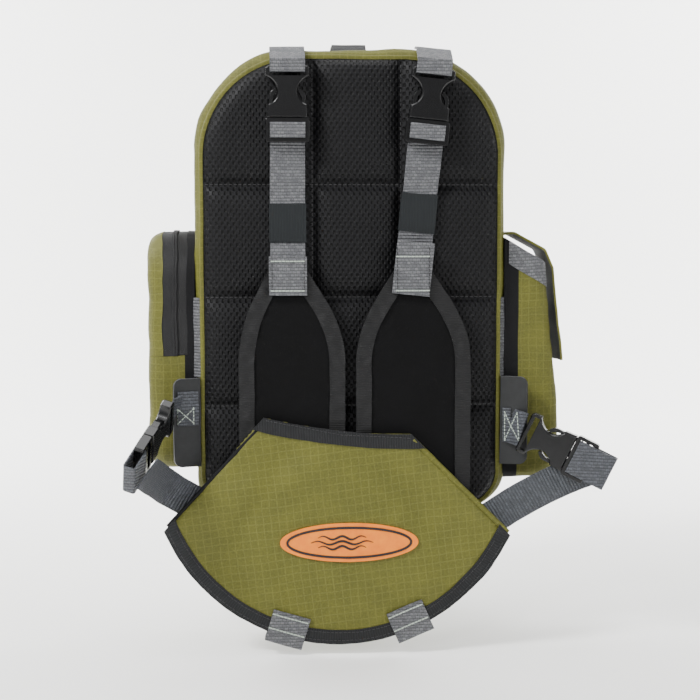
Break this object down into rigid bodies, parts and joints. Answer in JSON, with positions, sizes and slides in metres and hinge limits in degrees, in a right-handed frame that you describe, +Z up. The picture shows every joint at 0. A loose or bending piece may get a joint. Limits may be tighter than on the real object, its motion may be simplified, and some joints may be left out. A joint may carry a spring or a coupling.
{
  "type": "tackle backpack",
  "caption": "Olive fishing backpack seen from its harness side: mesh back panel, clip-on shoulder straps, padded yoke, hip clips, side pockets and a fold-down front.",
  "frame": {"origin": "centre of the flat base of the pack", "axes": "+Z up along the pack, -Y out of the back panel towards the wearer, +X towards the open sleeve pocket"},
  "size_m": [0.5335, 0.3438, 0.6677],
  "materials": {
    "olive_ripstop": "coated ripstop weave",
    "mesh_fabric": "spacer mesh",
    "black_fabric": "plain weave",
    "binding_tape": "ribbed tape",
    "grey_webbing": "woven webbing",
    "elastic": "woven elastic",
    "buckle_plastic": "moulded acetal",
    "zip_tape": "knitted zip tape with coil",
    "zip_metal": "black lacquer",
    "moulded_pull": "moulded rubber",
    "wing_sheet": "laminated sheet",
    "patch_rubber": "moulded rubber",
    "frame_plastic": "extruded sheet"
  },
  "bodies": {
    "pack": {"main_shell": "olive_ripstop", "main_zip_tub_tape": "zip_tape", "frame_sheet": "frame_plastic", "inner_divider": "black_fabric", "back_panel": "mesh_fabric", "back_piping": "olive_ripstop", "grab_loop": "binding_tape", "hip_wing_left": "wing_sheet", "hip_wing_right": "wing_sheet", "hip_socket_left": "buckle_plastic", "hip_socket_right": "buckle_plastic", "hip_anchor_left": "grey_webbing", "hip_anchor_right": "grey_webbing", "hip_run_left": "grey_webbing", "hip_run_right": "grey_webbing", "left_pocket": "olive_ripstop", "left_pocket_tape": "zip_tape", "right_pocket": "olive_ripstop", "right_pocket_rim": "grey_webbing", "shoulder_socket_left": "buckle_plastic", "shoulder_socket_right": "buckle_plastic", "top_loops": "grey_webbing", "shoulder_strap_left": "grey_webbing", "shoulder_strap_right": "grey_webbing", "elastic_keepers": "elastic", "strap_tabs": "grey_webbing", "shoulder_pad_left": "black_fabric", "shoulder_pad_right": "black_fabric", "pad_binding_left": "binding_tape", "pad_binding_right": "binding_tape", "yoke_panel": "olive_ripstop", "yoke_lower_binding": "binding_tape", "yoke_upper_binding": "binding_tape", "yoke_patch": "patch_rubber", "yoke_loops": "grey_webbing"},
    "front_panel": {"front_door": "olive_ripstop", "main_zip_door_tape": "zip_tape", "front_pocket": "olive_ripstop", "front_pocket_zip": "zip_tape", "daisy_chain": "grey_webbing"},
    "left_lid": {"left_pocket_lid": "olive_ripstop", "left_lid_tape": "zip_tape"},
    "right_flap": {"pocket_flap": "olive_ripstop"},
    "shoulder_clip_left": {"shoulder_plug_left": "buckle_plastic", "shoulder_wrap_left": "grey_webbing"},
    "hip_clip_left": {"hip_plug_left": "buckle_plastic", "hip_wrap_left": "grey_webbing"},
    "shoulder_clip_right": {"shoulder_plug_right": "buckle_plastic", "shoulder_wrap_right": "grey_webbing"},
    "hip_clip_right": {"hip_plug_right": "buckle_plastic", "hip_wrap_right": "grey_webbing"},
    "main_upper_runner": {"main_upper_slider": "zip_metal"},
    "main_upper_tag": {"main_upper_pull": "moulded_pull"},
    "main_lower_runner": {"main_lower_slider": "zip_metal"},
    "main_lower_tag": {"main_lower_pull": "moulded_pull"},
    "left_pocket_runner": {"left_pocket_slider": "zip_metal"},
    "left_pocket_tag": {"left_pocket_pull": "moulded_pull"},
    "front_pocket_runner": {"front_pocket_slider": "zip_metal"},
    "front_pocket_tag": {"front_pocket_pull": "moulded_pull"}
  },
  "joints": [
    {"name": "front_panel_open", "type": "hinge", "parent": "pack", "child": "front_panel", "pos_m": [0, 0.085, 0.063], "axis": [-1, 0, 0], "range_deg": [0, 95]},
    {"name": "left_lid_open", "type": "hinge", "parent": "pack", "child": "left_lid", "pos_m": [-0.225, -0.032, 0.174], "axis": [0, -1, 0], "range_deg": [0, 80]},
    {"name": "right_flap_lift", "type": "hinge", "parent": "pack", "child": "right_flap", "pos_m": [0.1721, -0.032, 0.3091], "axis": [0, -1, 0], "range_deg": [0, 70]},
    {"name": "shoulder_release_left", "type": "slide", "parent": "pack", "child": "shoulder_clip_left", "axis": [0, 0, -1], "range_m": [0, 0.034]},
    {"name": "hip_release_left", "type": "slide", "parent": "pack", "child": "hip_clip_left", "axis": [-0.3617, -0.7434, -0.5626], "range_m": [0, 0.034]},
    {"name": "shoulder_release_right", "type": "slide", "parent": "pack", "child": "shoulder_clip_right", "axis": [-0.1023, 0, -0.9948], "range_m": [0, 0.034]},
    {"name": "hip_release_right", "type": "slide", "parent": "pack", "child": "hip_clip_right", "axis": [0.8588, -0.2796, -0.4294], "range_m": [0, 0.034]},
    {"name": "main_upper_zip", "type": "slide", "parent": "pack", "child": "main_upper_runner", "axis": [0, 0, 1], "range_m": [0, 0.055]},
    {"name": "main_upper_pull_lift", "type": "hinge", "parent": "main_upper_runner", "child": "main_upper_tag", "pos_m": [0.1796, 0.035, 0.3198], "axis": [0, -1, 0], "range_deg": [0, 90]},
    {"name": "main_lower_zip", "type": "slide", "parent": "pack", "child": "main_lower_runner", "axis": [0, 0, -1], "range_m": [0, 0.215]},
    {"name": "main_lower_pull_lift", "type": "hinge", "parent": "main_lower_runner", "child": "main_lower_tag", "pos_m": [0.1796, 0.035, 0.3022], "axis": [0, -1, 0], "range_deg": [0, 90]},
    {"name": "left_pocket_zip", "type": "slide", "parent": "pack", "child": "left_pocket_runner", "axis": [0, 0, 1], "range_m": [0, 0.06]},
    {"name": "left_pocket_pull_lift", "type": "hinge", "parent": "left_pocket_runner", "child": "left_pocket_tag", "pos_m": [-0.1945, 0.0216, 0.186], "axis": [1, 0, 0], "range_deg": [0, 90]},
    {"name": "front_pocket_zip", "type": "slide", "parent": "front_panel", "child": "front_pocket_runner", "axis": [1, 0, 0], "range_m": [0, 0.15]},
    {"name": "front_pocket_pull_lift", "type": "hinge", "parent": "front_pocket_runner", "child": "front_pocket_tag", "pos_m": [-0.076, 0.1366, 0.3], "axis": [1, 0, 0], "range_deg": [0, 90]}
  ]
}
